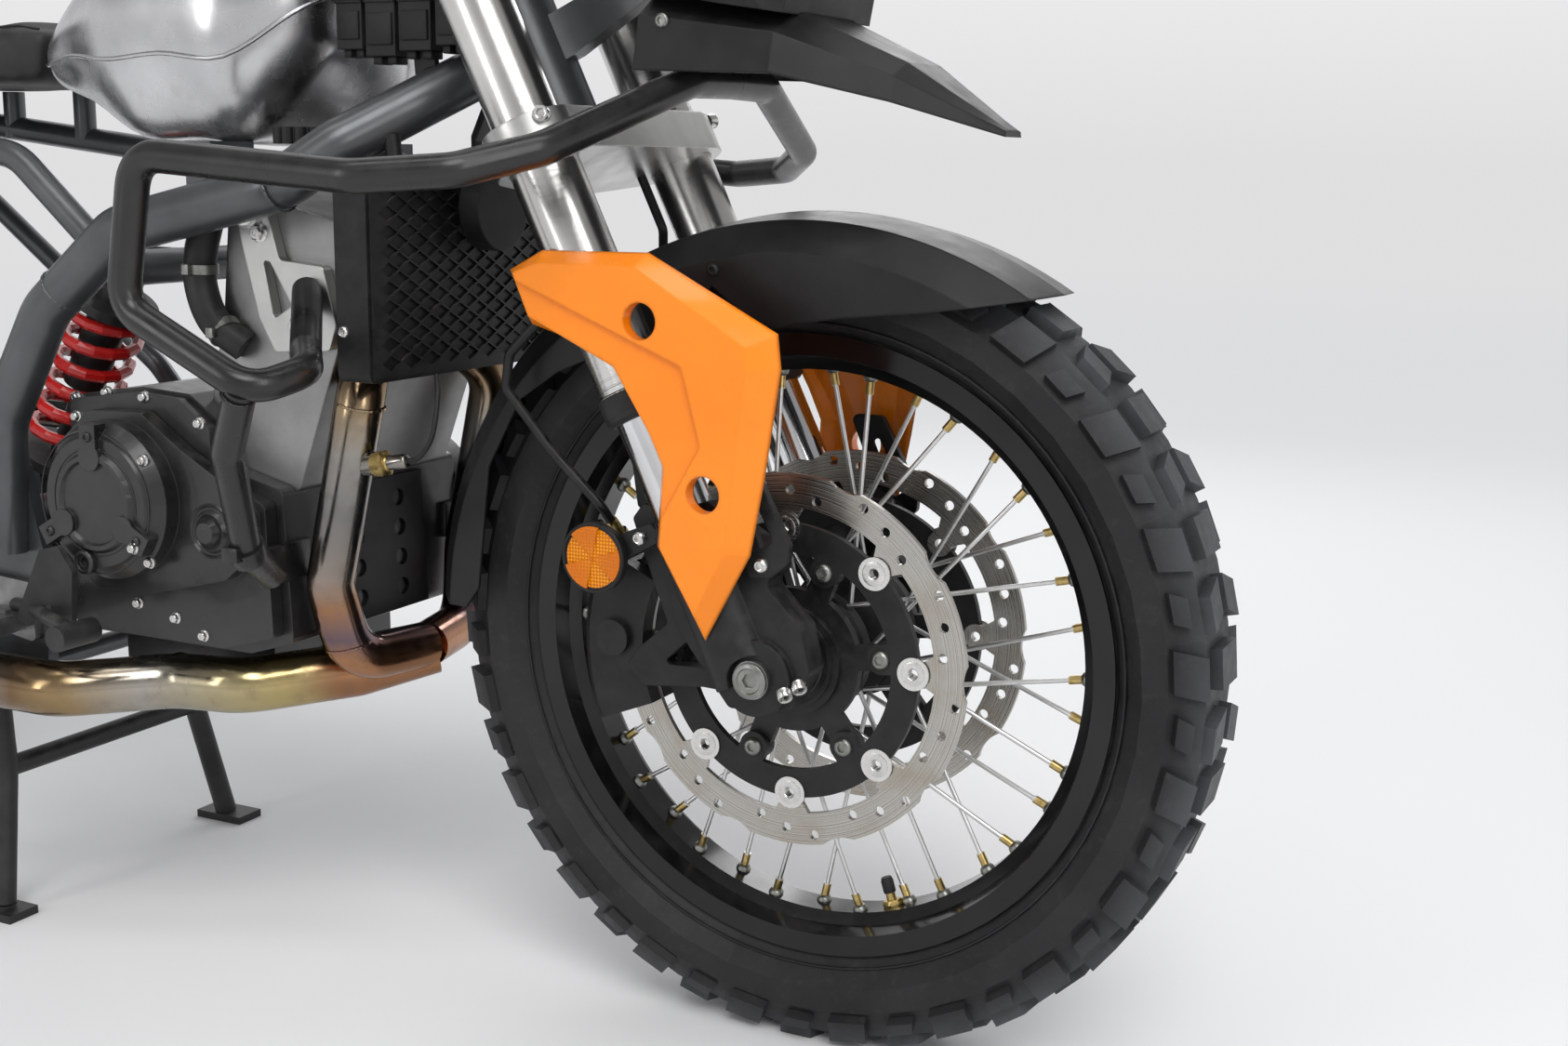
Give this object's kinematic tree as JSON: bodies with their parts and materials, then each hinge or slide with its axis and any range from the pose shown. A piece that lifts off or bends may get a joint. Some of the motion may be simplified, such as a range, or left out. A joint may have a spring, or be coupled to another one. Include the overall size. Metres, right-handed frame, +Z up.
{
  "type": "adventure motorcycle",
  "caption": "Twin-cylinder adventure motorcycle on its centre stand, with wire wheels, knobbly tyres, crash bars, bare metal tank, orange fork guards, steering, stands and turning wheels",
  "frame": {"origin": "on the floor under the middle of the overall box", "axes": "+X forward along the length, +Y to the rider's left, +Z up"},
  "size_m": [2.1224, 0.8774, 1.2744],
  "materials": {
    "axle_steel": "zinc plated",
    "bar_black": "satin black",
    "beak_black": "textured",
    "caliper_black": "satin black",
    "carrier_black": "matt black",
    "chain_steel": "oiled",
    "clamp_silver": "cast, satin",
    "control_black": "moulded",
    "crash_bar_black": "satin powder coat",
    "disc_steel": "ground, drilled",
    "engine_black": "matt black",
    "engine_silver": "cast",
    "exhaust_steel": "heat tinted",
    "fender_black": "textured",
    "foot_black": "cast, matt black",
    "fork_chrome": "hard chrome",
    "fork_polished": "turned and polished",
    "frame_grey": "satin grey metallic",
    "grip_rubber": "ribbed",
    "guard_black": "black",
    "guard_orange": "gloss orange",
    "hub_black": "satin black",
    "lamp_clear": "clear lens",
    "lamp_red": "lens",
    "lever_black": "black",
    "peg_steel": "serrated",
    "plastic_black": "moulded",
    "radiator_black": "black",
    "reflector_amber": "faceted",
    "rim_black": "gloss black",
    "screen_clear": "clear",
    "seat_vinyl": "padded vinyl",
    "shock_black": "black",
    "silencer_steel": "brushed",
    "spoke_steel": "stainless with brass nipples",
    "spring_red": "gloss red",
    "sprocket_steel": "hardened",
    "stand_black": "black",
    "swingarm_grey": "satin grey metallic",
    "tank_metal": "bare pressed metal",
    "tyre": "matt rubber"
  },
  "bodies": {
    "chassis": {"beak": "beak_black", "chain": "chain_steel", "chain_guard": "plastic_black", "crash_bars": "crash_bar_black", "engine_case": "engine_black", "engine_covers": "engine_black", "engine_guards": "guard_black", "engine_hangers": "clamp_silver", "engine_top": "engine_silver", "exhaust_header": "exhaust_steel", "foot_levers": "lever_black", "footpegs": "peg_steel", "front_cowl": "plastic_black", "fuel_tank": "tank_metal", "headlamp": "lamp_clear", "horn": "plastic_black", "instrument_panel": "plastic_black", "luggage_rack": "bar_black", "main_frame": "frame_grey", "plate_bracket": "plastic_black", "radiator": "radiator_black", "radiator_guard": "radiator_black", "rear_axle": "axle_steel", "rear_caliper": "caliper_black", "rear_shock": "shock_black", "rear_spring": "spring_red", "seat": "seat_vinyl", "silencer": "silencer_steel", "subframe": "frame_grey", "swingarm": "swingarm_grey", "tail_fairing": "plastic_black", "tail_lamp": "lamp_red", "windscreen": "screen_clear"},
    "steering": {"fork_clamps": "clamp_silver", "fork_outer_tubes": "fork_polished", "fork_inner_tubes": "fork_chrome", "fork_feet": "foot_black", "fork_reflectors": "reflector_amber", "front_axle": "axle_steel", "front_calipers": "caliper_black", "front_fender": "fender_black", "fork_guards": "guard_orange", "handlebar": "bar_black", "grips": "grip_rubber", "hand_controls": "control_black", "mirrors": "control_black"},
    "front_wheel": {"front_tyre": "tyre", "front_rim": "rim_black", "front_spokes": "spoke_steel", "front_hub": "hub_black", "front_disc_rotors": "disc_steel", "front_disc_carriers": "carrier_black"},
    "rear_wheel": {"rear_tyre": "tyre", "rear_rim": "rim_black", "rear_spokes": "spoke_steel", "rear_hub": "hub_black", "rear_disc": "disc_steel", "rear_sprocket": "sprocket_steel"},
    "centre_stand": {"centre_stand": "stand_black"},
    "side_stand": {"side_stand": "stand_black"}
  },
  "joints": [
    {"name": "steering", "type": "hinge", "parent": "chassis", "child": "steering", "pos_m": [0.45351, 0, 0.80758], "axis": [-0.4337, 0, 0.9011], "range_deg": [-35, 35]},
    {"name": "front_wheel_spin", "type": "hinge", "parent": "steering", "child": "front_wheel", "pos_m": [0.729, 0, 0.332], "axis": [0, 1, 0], "continuous": true},
    {"name": "rear_wheel_spin", "type": "hinge", "parent": "chassis", "child": "rear_wheel", "pos_m": [-0.696, 0, 0.333], "axis": [0, 1, 0], "continuous": true},
    {"name": "centre_stand_swing", "type": "hinge", "parent": "chassis", "child": "centre_stand", "pos_m": [-0.086, 0, 0.227], "axis": [0, 1, 0], "range_deg": [0, 80]},
    {"name": "side_stand_swing", "type": "hinge", "parent": "chassis", "child": "side_stand", "pos_m": [0.039, 0.176, 0.252], "axis": [-0.087, -0.9045, -0.4175], "range_deg": [0, 97]}
  ]
}
